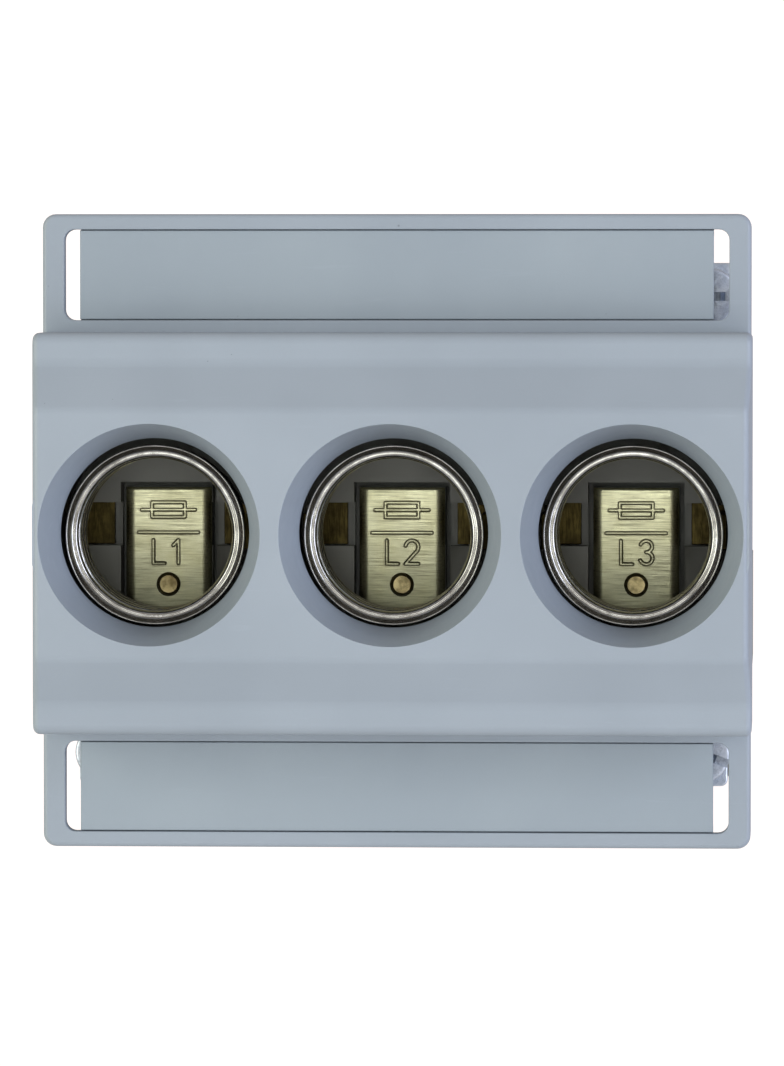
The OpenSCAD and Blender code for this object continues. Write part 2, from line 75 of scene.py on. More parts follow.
BODY_OF = {node: body for body, nodes in frame["record"]["behaviour"]["bodies"].items() for node in nodes}


# ---------------------------------------------------------------- sizes, in mm, read from the frame

def box_mm(node):
    """Lowest and highest corners of a CAD node in millimetres."""
    low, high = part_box(node)
    return [v / MM for v in low], [v / MM for v in high]


def boxes_mm(nodes):
    """Lowest and highest corners of several CAD nodes together."""
    corners = [box_mm(node) for node in nodes]
    low, high = zip(*corners)
    return [min(column) for column in zip(*low)], [max(column) for column in zip(*high)]


COVER_NODES = [n for n in BODY_OF if BODY_OF[n] == "cover"]
BASE_NODES = ["well_block_1", "well_block_2", "well_block_3", "base_core", "base_plate", "side_ribs",
              "terminal_partitions", "rail_hooks", "latch_guides"]
COVER_LOW, COVER_HIGH = boxes_mm(COVER_NODES)
FRONT_Y = COVER_LOW[1]
COVER_HALF = COVER_HIGH[0]
FRAME_TOP = COVER_HIGH[2]
LEDGE_Y = FRONT_Y + 3.2
FRAME_Y = FRONT_Y + 14
SPLIT_Y = FRONT_Y + 22
THROAT_Y = FRONT_Y + 8.8
RAISED_TOP = 22.6
FLAT_TOP = 14.0
SLOPE_END = 19.2
FRAME_HALF = COVER_HALF - 0.15
OPENING_R = 12.45
THROAT_R = 10.65
WINDOW_HALF = 37.75
SHELL_LOW, SHELL_HIGH = box_mm("thread_shell_2")
RIM_Y, SHELL_END_Y = SHELL_LOW[1], SHELL_HIGH[1]
CONTACT_LOW, CONTACT_HIGH = box_mm("bottom_contact_2")
CONTACT_Y = CONTACT_LOW[1]
CONTACT_HALF = 4.95
POLE_X = [sum(c[0] for c in box_mm(f"thread_shell_{n}")) / 2 for n in POLES]
STRIP_LOW, STRIP_HIGH = box_mm("upper_marking_strip")
WINDOW_Z = (STRIP_LOW[2] + STRIP_HIGH[2]) / 2
WINDOW_HEIGHT = STRIP_HIGH[2] - STRIP_LOW[2] + 0.2


# ---------------------------------------------------------------- mesh helpers, in mm

def new_object(name, vertices, faces):
    """A mesh object from points in millimetres."""
    mesh = bpy.data.meshes.new(name)
    mesh.from_pydata([[c * MM for c in v] for v in vertices], [], faces)
    mesh.validate()
    obj = bpy.data.objects.new(name, mesh)
    bpy.context.scene.collection.objects.link(obj)
    return obj


def fix_normals(obj):
    """Turns every face outwards."""
    bm = bmesh.new()
    bm.from_mesh(obj.data)
    bmesh.ops.recalc_face_normals(bm, faces=bm.faces)
    bm.to_mesh(obj.data)
    bm.free()
    return obj


AXES = {"x": (2, 0, 1), "y": (0, 2, 1), "z": (0, 1, 2)}


def prism(name, outline, axis, low, high, shape=None):
    """Extrudes a closed outline along an axis.

    The outline's pair is (y, z) for x, (x, z) for y and (x, y) for z. shape moves each finished point.
    """
    order = AXES[axis]
    points = []
    for level in (low, high):
        for a, b in outline:
            triple = (a, b, level)
            points.append([triple[i] for i in order])
    if shape:
        points = [shape(p) for p in points]
    n = len(outline)
    faces = [list(range(n)), list(range(2 * n - 1, n - 1, -1))]
    faces += [[i, (i + 1) % n, n + (i + 1) % n, n + i] for i in range(n)]
    return fix_normals(new_object(name, points, faces))


def block(name, x, y, z):
    """Box from its (low, high) pair on each axis."""
    return prism(name, [(x[0], y[0]), (x[1], y[0]), (x[1], y[1]), (x[0], y[1])], "z", z[0], z[1])


def rounded(w, h, r, n=6, centre=(0.0, 0.0)):
    """Outline of a rounded rectangle with half sizes w and h."""
    points = []
    for cx, cy, start in ((w - r, h - r, 0), (r - w, h - r, 90), (r - w, r - h, 180), (w - r, r - h, 270)):
        for i in range(n + 1):
            a = math.radians(start + 90 * i / n)
            points.append((centre[0] + cx + r * math.cos(a), centre[1] + cy + r * math.sin(a)))
    return points


def lathe(name, profile, x, z, segments=96):
    """Turns a profile of (radius, y) points about the Y axis through (x, z)."""
    vertices, faces, rows = [], [], []
    for r, y in profile:
        if r < 1e-6:
            rows.append([len(vertices)] * segments)
            vertices.append((x, y, z))
            continue
        rows.append(list(range(len(vertices), len(vertices) + segments)))
        for i in range(segments):
            a = 2 * math.pi * i / segments
            vertices.append((x + r * math.cos(a), y, z + r * math.sin(a)))
    for row, nxt in zip(rows, rows[1:]):
        for i in range(segments):
            j = (i + 1) % segments
            ring = [row[i], row[j], nxt[j], nxt[i]]
            face = [v for k, v in enumerate(ring) if v not in ring[:k]]
            if len(face) > 2:
                faces.append(face)
    return fix_normals(new_object(name, vertices, faces))


def boolean(target, cutters, operation="DIFFERENCE"):
    """Applies booleans one after another and removes the cutters."""
    for cutter in cutters:
        modifier = target.modifiers.new("cut", "BOOLEAN")
        modifier.operation = operation
        modifier.solver = "EXACT"
        modifier.object = cutter
        apply_modifiers(target)
        bpy.data.objects.remove(cutter)
    return target


def apply_modifiers(obj):
    """Turns the result of the object's modifiers into its mesh."""
    graph = bpy.context.evaluated_depsgraph_get()
    mesh = bpy.data.meshes.new_from_object(obj.evaluated_get(graph))
    obj.modifiers.clear()
    obj.data = mesh


def clean(obj, dissolve=0.5):
    """Merges stray points and joins coplanar faces."""
    bm = bmesh.new()
    bm.from_mesh(obj.data)
    bmesh.ops.remove_doubles(bm, verts=bm.verts, dist=0.002 * MM)
    bmesh.ops.dissolve_limit(bm, angle_limit=math.radians(dissolve), verts=bm.verts, edges=bm.edges)
    bm.to_mesh(obj.data)
    bm.free()
    return obj


def bevel(obj, width, choose, segments=3):
    """Rounds the edges that choose(edge, angle in degrees, middle in mm) picks."""
    bm = bmesh.new()
    bm.from_mesh(obj.data)
    picked = []
    for edge in bm.edges:
        if len(edge.link_faces) != 2:
            continue
        middle = (edge.verts[0].co + edge.verts[1].co) / 2 / MM
        if choose(edge, math.degrees(edge.calc_face_angle(0)), middle):
            picked.append(edge)
    bmesh.ops.bevel(bm, geom=picked, offset=width * MM, offset_type="OFFSET", segments=segments,
                    profile=0.5, affect="EDGES", clamp_overlap=True, material=-1)
    bm.to_mesh(obj.data)
    bm.free()
    return obj


def smooth(obj, angle=32):
    """Smooth shading that keeps flat faces flat and real corners sharp."""
    obj.data.shade_smooth()
    obj.data.set_sharp_from_angle(angle=math.radians(angle))
    normals = obj.modifiers.new("normals", "WEIGHTED_NORMAL")
    normals.keep_sharp = True
    return obj


def join(objects, name):
    """Joins objects into the first one."""
    bm = bmesh.new()
    for obj in objects:
        bm.from_mesh(obj.data)
    mesh = bpy.data.meshes.new(name)
    bm.to_mesh(mesh)
    bm.free()
    first = objects[0]
    first.data = mesh
    first.name = name
    for obj in objects[1:]:
        bpy.data.objects.remove(obj)
    return first


def stand_for(obj, nodes, material):
    """obj replaces CAD nodes of one body and moves with it."""
    obj.data.materials.clear()
    obj.data.materials.append(material)
    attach(obj, BODY_OF[nodes[0]])
    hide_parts(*nodes)
    return obj


# ---------------------------------------------------------------- materials

def srgb(r, g, b):
    """Scene-linear colour of an sRGB triple from 0 to 255."""
    def linear(v):
        v /= 255
        return v / 12.92 if v <= 0.04045 else ((v + 0.055) / 1.055) ** 2.4
    return (linear(r), linear(g), linear(b), 1.0)


class Nodes:
    """A material's node tree, with short calls for the nodes used here. Coordinates are in millimetres."""

    def __init__(self, name):
        self.material = bpy.data.materials.new(name)
        self.material.use_nodes = True
        self.tree = self.material.node_tree
        self.shader = self.tree.nodes["Principled BSDF"]
        coordinates = self.add("ShaderNodeTexCoord")
        self.mm = self.add("ShaderNodeMapping", Scale=(1000, 1000, 1000))
        self.link(coordinates.outputs["Object"], self.mm.inputs["Vector"])

    def add(self, kind, **inputs):
        node = self.tree.nodes.new(kind)
        for key, value in inputs.items():
            node.inputs[key.replace("_", " ")].default_value = value
        return node

    def link(self, source, target):
        self.tree.links.new(source, target)

    def set(self, **values):
        for key, value in values.items():
            self.shader.inputs[key.replace("_", " ")].default_value = value

    def stretched(self, scale):
        """Coordinates in mm, scaled along each axis."""
        node = self.add("ShaderNodeMapping", Scale=scale)
        self.link(self.mm.outputs[0], node.inputs["Vector"])
        return node.outputs[0]

    def noise(self, scale, detail=3.0, roughness=0.55, vector=None, distortion=0.0):
        node = self.add("ShaderNodeTexNoise", Scale=scale, Detail=detail, Roughness=roughness,
                        Distortion=distortion)
        self.link(vector or self.mm.outputs[0], node.inputs["Vector"])
        return node.outputs["Fac"]

    def voronoi(self, scale):
        node = self.add("ShaderNodeTexVoronoi", Scale=scale)
        self.link(self.mm.outputs[0], node.inputs["Vector"])
        return node

    def ramp(self, source, low, high, to_low=0.0, to_high=1.0):
        """Maps source from low..high to to_low..to_high, clamped."""
        node = self.add("ShaderNodeMapRange")
        for key, value in (("From Min", low), ("From Max", high), ("To Min", to_low), ("To Max", to_high)):
            node.inputs[key].default_value = value
        self.link(source, node.inputs["Value"])
        return node.outputs["Result"]

    def math(self, operation, a, b):
        node = self.add("ShaderNodeMath")
        node.operation = operation
        for socket, value in zip(node.inputs, (a, b)):
            if isinstance(value, (int, float)):
                socket.default_value = value
            else:
                self.link(value, socket)
        return node.outputs[0]

    def mix(self, factor, a, b):
        """Mix of two colours; each is a tuple or a socket."""
        node = self.add("ShaderNodeMix")
        node.data_type = "RGBA"
        self.link(factor, node.inputs[0])
        for socket, value in ((node.inputs[6], a), (node.inputs[7], b)):
            if isinstance(value, tuple):
                socket.default_value = value
            else:
                self.link(value, socket)
        return node.outputs[2]

    def bump(self, *layers):
        """Stacks (height, depth in mm) layers into the shader's normal."""
        normal = None
        for height, depth in layers:
            node = self.add("ShaderNodeBump", Strength=1.0, Distance=depth * MM)
            self.link(height, node.inputs["Height"])
            if normal:
                self.link(normal, node.inputs["Normal"])
            normal = node.outputs[0]
        self.link(normal, self.shader.inputs["Normal"])


def dust_specks(n, cell_mm, size_mm, share):
    """1 inside small scattered specks: a share of the cells holds one."""
    cells = n.voronoi(1 / cell_mm)
    spot = n.ramp(cells.outputs["Distance"], size_mm / cell_mm * 0.6, size_mm / cell_mm, 1, 0)
    separate = n.add("ShaderNodeSeparateColor")
    n.link(cells.outputs["Color"], separate.inputs[0])
    chosen = n.math("LESS_THAN", separate.outputs[0], share)
    return n.math("MULTIPLY", spot, chosen)


def moulded_plastic(name, colour, dark, roughness, grain=0.004, specks=0.35):
    """Satin moulded plastic: slow tone drift, fine spark-eroded grain, dust specks and faint rubs."""
    n = Nodes(name)
    drift = n.noise(0.045, 2.0)
    fine = n.noise(7.0, 2.0, 0.6)
    base = n.mix(n.ramp(drift, 0.35, 0.65, 0.0, 1.0), colour, dark)
    base = n.mix(n.ramp(fine, 0.3, 0.7, 0.0, 0.10), base, tuple(c * 0.8 for c in dark[:3]) + (1.0,))
    rubs = n.noise(1.0, 4.0, 0.7, vector=n.stretched((0.05, 0.4, 0.9)), distortion=0.6)
    rub = n.ramp(rubs, 0.63, 0.75, 0.0, 0.30)
    base = n.mix(rub, base, tuple(min(c * 1.12, 1) for c in colour[:3]) + (1.0,))
    spots = n.math("MAXIMUM", dust_specks(n, 7.0, 0.20, specks), dust_specks(n, 2.6, 0.07, specks * 0.6))
    base = n.mix(n.math("MULTIPLY", spots, 0.55), base, tuple(c * 0.35 for c in dark[:3]) + (1.0,))
    n.link(base, n.shader.inputs["Base Color"])
    rough = n.ramp(n.noise(0.5, 3.0), 0.3, 0.7, roughness - 0.05, roughness + 0.07)
    n.link(n.math("SUBTRACT", rough, n.math("MULTIPLY", rub, 0.25)), n.shader.inputs["Roughness"])
    n.set(IOR=1.5)
    n.bump((n.noise(4.5, 3.0, 0.6), grain), (n.noise(0.12, 2.0), 0.06), (spots, 0.01))
    return n.material


def plated_metal(name, colour, tarnish, roughness, brush, grain, stain_scale=0.25, fade=None):
    """Metal with brush lines along one axis, fine grain and patches of tarnish.

    fade is (high, low, share) and paints shade: the colour darkens from the first height down to the second,
    where that share of it is left.
    """
    n = Nodes(name)
    lines = n.noise(1.0, 4.0, 0.7, vector=n.stretched(brush))
    pits = n.noise(9.0, 3.0, 0.7)
    stain = n.ramp(n.noise(stain_scale, 4.0, 0.6), 0.38, 0.66)
    base = n.mix(stain, colour, tarnish)
    base = n.mix(n.ramp(lines, 0.45, 0.62, 0.0, 0.55), base, tuple(c * 0.55 for c in tarnish[:3]) + (1.0,))
    base = n.mix(n.ramp(pits, 0.60, 0.72, 0.0, 0.6), base, tuple(c * 0.35 for c in tarnish[:3]) + (1.0,))
    # Painted shade: lower down, the colour darkens towards near black.
    if fade:
        high, low, share = fade
        split = n.add("ShaderNodeSeparateXYZ")
        n.link(n.mm.outputs[0], split.inputs[0])
        height = n.math("ADD", split.outputs[2], n.ramp(stain, 0.0, 1.0, -1.5, 1.5))
        base = n.mix(n.ramp(height, low, high, 1.0 - share, 0.0), base, (0.01, 0.01, 0.008, 1.0))
    n.link(base, n.shader.inputs["Base Color"])
    n.set(Metallic=1.0)
    n.link(n.ramp(lines, 0.3, 0.7, roughness - 0.08, roughness + 0.12), n.shader.inputs["Roughness"])
    n.bump((lines, grain), (pits, grain * 1.5))
    return n.material


def make_materials():
    """One material for each plastic and each metal of the object."""
    return {
        "cover": moulded_plastic("cover_plastic", srgb(162, 171, 180), srgb(156, 165, 174), 0.45),
        "strip": moulded_plastic("strip_plastic", srgb(160, 170, 177), srgb(154, 164, 172), 0.46,
                                 grain=0.005),
        "base": moulded_plastic("base_plastic", srgb(158, 158, 150), srgb(140, 140, 133), 0.5, grain=0.008),
        "latch": moulded_plastic("latch_plastic", srgb(62, 64, 66), srgb(52, 54, 56), 0.45, grain=0.01),
        "shell": plated_metal("nickel_shell", srgb(190, 187, 182), srgb(150, 146, 140), 0.16,
                              (0.5, 9.0, 0.5), 0.0012),
        # Painted shade: the contact's colour darkens towards its bottom, where its reflection is darker.
        "contact": plated_metal("nickel_contact", srgb(236, 233, 194), srgb(204, 200, 160), 0.34,
                                (0.25, 4.0, 9.0), 0.0034, fade=(2.0, -9.0, 0.35)),
        # Painted shade: this brass is far darker than screw_brass, standing in for the shade deep in the
        # channels it lies in.
        "brass": plated_metal("raw_brass", srgb(100, 88, 50), srgb(60, 52, 30), 0.45,
                              (6.0, 0.6, 0.6), 0.0015),
        "screw_brass": plated_metal("screw_brass", srgb(226, 208, 156), srgb(170, 150, 104), 0.4,
                                    (1.2, 1.2, 1.2), 0.006),
        "zinc": plated_metal("zinc_steel", srgb(226, 232, 240), srgb(196, 206, 220), 0.5,
                             (0.9, 0.9, 0.9), 0.003, stain_scale=0.6),
        "spring": plated_metal("spring_steel", srgb(170, 170, 172), srgb(120, 120, 124), 0.25,
                               (2.0, 2.0, 0.4), 0.0015),
    }


# ---------------------------------------------------------------- cover

WALL = 1.6
FRAME_WALL = 1.2
FRAME_INNER = 20.8
DRAFT = 0.35
COLLAR_WALL = 1.1
LIP_INSIDE, LIP_OUTSIDE = 0.8, 1.0


def raised_outline(inset, back):
    """Side view of the raised section as (y, z), moved inwards by inset and cut off at back."""
    top, ledge, front = RAISED_TOP - inset, LEDGE_Y + inset, FRONT_Y + inset
    half = [(back, top), (ledge, top), (ledge, SLOPE_END - 0.6 * inset), (front, FLAT_TOP - 0.3 * inset)]
    return half + [(y, -z) for y, z in reversed(half)]


def raised_block():
    """Bevelled centre section, drafted towards the front and rounded on every outer edge."""
    def draft(p):
        share = min(max((p[1] - FRONT_Y) / (LEDGE_Y - FRONT_Y), 0), 1)
        p[0] *= 1 - DRAFT / COVER_HALF * (1 - share)
        return p
    obj = prism("cover_raised", raised_outline(0, SPLIT_Y), "x", -COVER_HALF, COVER_HALF, draft)
    along_x = lambda e: abs(e.verts[0].co.x - e.verts[1].co.x) > 50 * MM
    on_top = lambda m: abs(abs(m.z) - RAISED_TOP) < 0.1 and m.y < LEDGE_Y + 1
    bevel(obj, 1.25, lambda e, a, m: along_x(e) and on_top(m), 6)
    bevel(obj, 0.55, lambda e, a, m: along_x(e) and abs(abs(m.z) - FLAT_TOP) < 0.3, 4)
    bevel(obj, 0.7, lambda e, a, m: along_x(e) and abs(abs(m.z) - SLOPE_END) < 0.3, 4)
    bevel(obj, 0.75, lambda e, a, m: a > 45 and abs(m.x) > COVER_HALF - 1 and m.y < SPLIT_Y - 0.5, 5)
    return obj


def frame_block(side):
    """One end frame, a box with rounded outer corners and a softened front edge."""
    outer = FRAME_TOP
    z = sorted((side * FRAME_INNER, side * outer))
    obj = block("cover_frame", (-FRAME_HALF, FRAME_HALF), (FRAME_Y, SPLIT_Y), z)
    corner = lambda e, a, m: abs(m.z - side * outer) < 0.1 and abs(abs(m.x) - FRAME_HALF) < 0.1
    bevel(obj, 1.5, corner, 6)
    front = lambda e, a, m: abs(m.y - FRAME_Y) < 0.05 and abs(m.z) > FRAME_INNER + 0.5
    bevel(obj, 0.55, front, 4)
    return obj


def window_cutter(side):
    """Cutter for a window with rounded corners."""
    outline = rounded(WINDOW_HALF, WINDOW_HEIGHT / 2, 1.2, centre=(0, side * WINDOW_Z))
    return prism("cut", outline, "y", FRAME_Y - 1, FRAME_Y + 3)


def socket_cone(x, wall, over):
    """Tapered socket opening, grown outwards by wall and lengthened by over at both ends."""
    taper = (OPENING_R - THROAT_R) / (THROAT_Y - FRONT_Y)
    front, back = OPENING_R + wall + taper * over, THROAT_R + wall - taper * over
    profile = [(0, FRONT_Y - over), (front, FRONT_Y - over), (back, THROAT_Y + over), (0, THROAT_Y + over)]
    return lathe("cone", profile, x, 0, 144)


def tongue(s):
    """Tongue on a side wall that snaps into the base."""
    x = sorted((s * (COVER_HALF - 1.6), s * (COVER_HALF - 0.3)))
    obj = block("tongue", x, (SPLIT_Y - 0.5, SPLIT_Y + 7), (6, 14))
    return bevel(obj, 0.4, lambda e, a, m: m.y > SPLIT_Y + 6.9, 2)


def cover_collar(x):
    """Tapered wall round one socket opening, cut level with the cover's sides and its front skin."""
    collar = socket_cone(x, COLLAR_WALL, 0)
    keep = block("keep", (0.3 - COVER_HALF, COVER_HALF - 0.3), (FRONT_Y + 0.2, THROAT_Y), (-20, 20))
    return boolean(collar, [keep], "INTERSECT")


def window_lips():
    """Lips behind the long edges of both windows, which carry the marking strips."""
    x, y = (STRIP_LOW[0], STRIP_HIGH[0]), (FRAME_Y + 1.5, FRAME_Y + 2.8)
    reach = (WINDOW_HEIGHT / 2 - LIP_INSIDE, WINDOW_HEIGHT / 2 + LIP_OUTSIDE)
    return [block("lip", x, y, sorted(side * WINDOW_Z + edge * z for z in reach))
            for side in (1, -1) for edge in (1, -1)]


def build_cover():
    """Cover as one hollow moulding, with its sockets, windows, lips and tongues."""
    cover = raised_block()
    boolean(cover, [frame_block(1), frame_block(-1)], "UNION")
    cavity = prism("cut", raised_outline(WALL, SPLIT_Y + 1), "x", WALL - COVER_HALF, COVER_HALF - WALL)
    room_x, room_y = FRAME_HALF - FRAME_WALL, (FRAME_Y + 2, SPLIT_Y + 1)
    rooms = [block("cut", (-room_x, room_x), room_y,
                   sorted((side * (FRAME_INNER - 0.2), side * (FRAME_TOP - FRAME_WALL))))
             for side in (1, -1)]
    boolean(cover, [cavity, *rooms])
    boolean(cover, [cover_collar(x) for x in POLE_X], "UNION")
    boolean(cover, [socket_cone(x, 0, 0.6) for x in POLE_X] + [window_cutter(1), window_cutter(-1)])
    boolean(cover, [tongue(s) for s in (1, -1)], "UNION")
    boolean(cover, window_lips(), "UNION")
    clean(cover)
    on_circle = lambda m, r: min(abs(math.hypot(m.x - x, m.z) - r) for x in POLE_X) < 0.08
    on_rim = lambda m, r, y: abs(m.y - y) < 0.08 and on_circle(m, r)
    bevel(cover, 0.16, lambda e, a, m: a > 30 and on_rim(m, OPENING_R, FRONT_Y), 3)
    bevel(cover, 0.15, lambda e, a, m: a > 30 and on_rim(m, THROAT_R, THROAT_Y), 2)
    in_window = lambda m: abs(m.y - FRAME_Y) < 0.03 and abs(m.x) < WINDOW_HALF + 0.05
    near_window = lambda m: in_window(m) and abs(abs(m.z) - WINDOW_Z) < WINDOW_HEIGHT / 2 + 0.05
    bevel(cover, 0.14, lambda e, a, m: a > 60 and near_window(m), 2)
    return cover


def build_strip(side):
    """Marking strip: a thin plate with softened edges and two ribs behind it."""
    low, high = box_mm(f"{'upper' if side > 0 else 'lower'}_marking_strip")
    rib_z, rib_half, rib_inset = 2.6, 0.5, 2
    face_back = low[1] + 1.2
    plate = block("strip", (low[0], high[0]), (low[1], face_back), (low[2], high[2]))
    bevel(plate, 0.12, lambda e, a, m: abs(m.y - low[1]) < 0.01, 3)
    middle = side * WINDOW_Z
    ribs = [block("rib", (low[0] + rib_inset, high[0] - rib_inset), (face_back - 0.1, high[1]),
                  (middle + z - rib_half, middle + z + rib_half))
            for z in (-rib_z, rib_z)]
    return join([plate, *ribs], "marking_strip")


# ---------------------------------------------------------------- conductors

THREAD_PITCH = 3.0
CREST_R, ROOT_R = 8.58, 9.3
TURN_R, TURN_DEPTH = 8.75, 1.4
FINE_STEP, FINE_ROWS, COARSE_ROWS = 0.1, 28, 40
SHEET = 0.4
SHELL_DROP = 0.25
# The rim in section as (radius, depth): the dish, the thin edge and the start of the outside.
RIM_SECTION = [(8.77, 1.2), (8.83, 1.02), (8.93, 0.88), (9.06, 0.8), (9.18, 0.78), (9.3, 0.81), (9.4, 0.79),
               (9.52, 0.7), (9.66, 0.52), (9.8, 0.31), (9.92, 0.12), (9.98, 0.03), (10.04, 0.0),
               (10.11, 0.03), (10.15, 0.12), (10.15, 0.6), (9.9, 0.8), (9.35, 1.4)]


def shell_radius(depth, angle, length):
    """Inner radius of the shell: a helical thread that runs out at both ends."""
    wave = math.tanh(2.4 * math.sin(2 * math.pi * depth / THREAD_PITCH - angle)) / math.tanh(2.4)
    run_out = min(max((length - depth) / 1.0, 0), 1)
    run_in = min(max((depth - TURN_DEPTH) / 0.9, 0), 1)
    thread = (CREST_R + ROOT_R) / 2 + run_out * wave * (ROOT_R - CREST_R) / 2
    return TURN_R + run_in * (thread - TURN_R)


def build_shell(x):
    """Rolled thread shell: one thin sheet with a helical thread and a dished rim with a thin edge."""
    length = SHELL_END_Y - RIM_Y
    near = [TURN_DEPTH + FINE_STEP * i for i in range(FINE_ROWS)]
    far = [near[-1] + (length - near[-1]) * i / COARSE_ROWS for i in range(1, COARSE_ROWS + 1)]
    depths = near + far
    segments = 180
    vertices = []

    def ring(radius_at, depth):
        for i in range(segments):
            a = 2 * math.pi * i / segments
            radius = radius_at(a)
            vertices.append((x + radius * math.cos(a), RIM_Y + depth, radius * math.sin(a) - SHELL_DROP))

    for depth in reversed(depths):
        ring(lambda a: shell_radius(depth, a, length), depth)
    for radius, depth in RIM_SECTION:
        ring(lambda a: radius, depth)
    for depth in depths[3:]:
        ring(lambda a: shell_radius(depth, a, length) + SHEET, depth)
    rows = len(vertices) // segments
    faces = []
    for row in range(rows):
        nxt = (row + 1) % rows
        for i in range(segments):
            j = (i + 1) % segments
            faces.append([row * segments + i, row * segments + j, nxt * segments + j, nxt * segments + i])
    return fix_normals(new_object("thread_shell", vertices, faces))


def arc_points(cx, cy, rx, ry, start, stop, n=10):
    """Points along an arc of an ellipse, from one angle to another in degrees."""
    return [(cx + rx * math.cos(math.radians(start + (stop - start) * i / n)),
             cy + ry * math.sin(math.radians(start + (stop - start) * i / n))) for i in range(n + 1)]


def digit(n, x, z):
    """Strokes of the digit 1, 2 or 3 with its middle at (x, z). w and h are its half width and height."""
    w, h = 0.75, 1.35
    if n == 1:
        return [[(x - 0.6, z + 0.75), (x, z + h), (x, z - h)]]
    if n == 2:
        top = arc_points(x, z + h - w, w, w, 170, -35)
        return [top + [(x - w, z - h), (x + w, z - h)]]
    return [arc_points(x, z + h - 0.66, w * 0.92, 0.66, 160, -90),
            arc_points(x, z - h + 0.70, w, 0.70, 90, -160)]


def stamp_strokes(n):
    """Generic stamp: a fuse symbol over a bar, and the phase number of the pole under it."""
    w, h, z = 1.9, 0.85, 2.0
    wire, bar_half, bar_z = 3.1, 3.45, -0.62
    symbol = [[(-w, z - h), (w, z - h), (w, z + h), (-w, z + h), (-w, z - h)], [(-wire, z), (wire, z)]]
    bar = [[(-bar_half, bar_z), (bar_half, bar_z)]]
    letter = [[(-1.75, -1.5), (-1.75, -4.2), (-0.45, -4.2)]]
    return symbol + bar + letter + digit(n, 1.15, -2.85)


def distance_to_strokes(u, v, strokes):
    """Distance from each point of a grid to the nearest stroke."""
    best = np.full(u.shape, 99.0)
    for points in strokes:
        for (ax, ay), (bx, by) in zip(points, points[1:]):
            dx, dy = bx - ax, by - ay
            t = np.clip(((u - ax) * dx + (v - ay) * dy) / (dx * dx + dy * dy), 0, 1)
            best = np.minimum(best, np.hypot(u - ax - t * dx, v - ay - t * dy))
    return best


def edge_round(distance, radius):
    """Drop of a quarter-round edge at a distance from it."""
    d = np.clip(distance, 0, radius)
    return radius - np.sqrt(np.maximum(radius ** 2 - (radius - d) ** 2, 0))


def stamped_pad(n, x, low, high, y_front, thickness):
    """Front of the contact as a fine sheet with rounded long edges and the stamp pressed into it."""
    step = 0.075
    us = np.linspace(low[0], high[0], int(round((high[0] - low[0]) / step)) + 1)
    vs = np.linspace(low[1], high[1], int(round((high[1] - low[1]) / step)) + 1)
    u, v = np.meshgrid(us, vs, indexing="ij")
    y = edge_round(np.minimum(u - low[0], high[0] - u), 1.15) * 0.75 + edge_round(high[1] - v, 0.35)
    d = distance_to_strokes(u, v, stamp_strokes(n))
    groove = np.clip((0.20 - d) / 0.07, 0, 1)
    lip = np.exp(-((d - 0.27) / 0.07) ** 2)
    y = y_front + y + 0.12 * groove - 0.012 * lip + 0.01
    nu, nv = u.shape
    front = [(x + a, b, c) for a, b, c in zip(u.ravel(), y.ravel(), v.ravel())]
    back = [(x + a, y_front + thickness, c) for a, c in zip(u.ravel(), v.ravel())]
    index = lambda i, j: i * nv + j
    faces = [[index(i, j), index(i + 1, j), index(i + 1, j + 1), index(i, j + 1)]
             for i in range(nu - 1) for j in range(nv - 1)]
    border = ([(i, 0) for i in range(nu - 1)] + [(nu - 1, j) for j in range(nv - 1)]
              + [(i, nv - 1) for i in range(nu - 1, 0, -1)] + [(0, j) for j in range(nv - 1, 0, -1)])
    offset = nu * nv
    rim = [index(i, j) for i, j in border]
    for k, a in enumerate(rim):
        b = rim[(k + 1) % len(rim)]
        faces.append([a, b, b + offset, a + offset])
    faces.append([r + offset for r in rim])
    used = sorted({i for f in faces for i in f})
    renumber = {old: new for new, old in enumerate(used)}
    points = front + back
    obj = new_object("pad", [points[i] for i in used], [[renumber[i] for i in f] for f in faces])
    return fix_normals(obj)


def build_contact(n):
    """Stamped contact pad with its step down to the lower terminal bar."""
    low, high = box_mm(f"bottom_contact_{n}")
    x = POLE_X[n - 1]
    half, metal = CONTACT_HALF, 1.5
    hole_z, hole_r, screw_r = -6.6, 1.4, 1.05
    pad_z, riser_z, bar_y = -11.0, -20.7, high[1] - metal
    screw_z, screw_x, screw_hole_r = -26.6, 7.9, 2.7
    pad = stamped_pad(n, x, (-half, pad_z), (half, high[2]), low[1], metal)
    cut = lathe("cut", [(0, low[1] - 1), (hole_r, low[1] - 1), (hole_r, low[1] + 0.5),
                        (screw_r, low[1] + 0.7), (screw_r, low[1] + 3), (0, low[1] + 3)], x, hole_z, 48)
    boolean(pad, [cut])
    side = [(low[1] + 0.03, pad_z), (low[1] + 0.03, riser_z - metal), (high[1], riser_z - metal),
            (high[1], riser_z), (low[1] + metal, riser_z), (low[1] + metal, pad_z)]
    step = prism("step", side, "x", x - half, x + half)
    across = lambda e: abs(e.verts[0].co.x - e.verts[1].co.x) > 5 * MM
    at_bend = lambda m: m.z < -15 and (m.y - low[1] < 0.2 or m.z > riser_z - 0.1 and m.y > high[1] - 0.1)
    bevel(step, 0.9, lambda e, a, m: across(e) and a > 60 and at_bend(m), 4)
    bevel(step, 0.25, lambda e, a, m: a > 60 and abs(abs(m.x - x) - half) < 0.01, 2)
    bar = block("bar", (low[0], high[0]), (bar_y, high[1]), (low[2], riser_z))
    bevel(bar, 0.3, lambda e, a, m: a > 60, 2)
    centre = (low[0] + high[0]) / 2
    outline = [(0, bar_y - 1), (screw_hole_r, bar_y - 1), (screw_hole_r, high[1] + 1), (0, high[1] + 1)]
    holes = [lathe("cut", outline, centre + dx, screw_z, 48) for dx in (-screw_x, screw_x)]
    boolean(bar, holes)
    return join([pad, step, bar], "bottom_contact")


# ---------------------------------------------------------------- terminals

HEAD_R, HEAD_HEIGHT = 3.3, 2.6


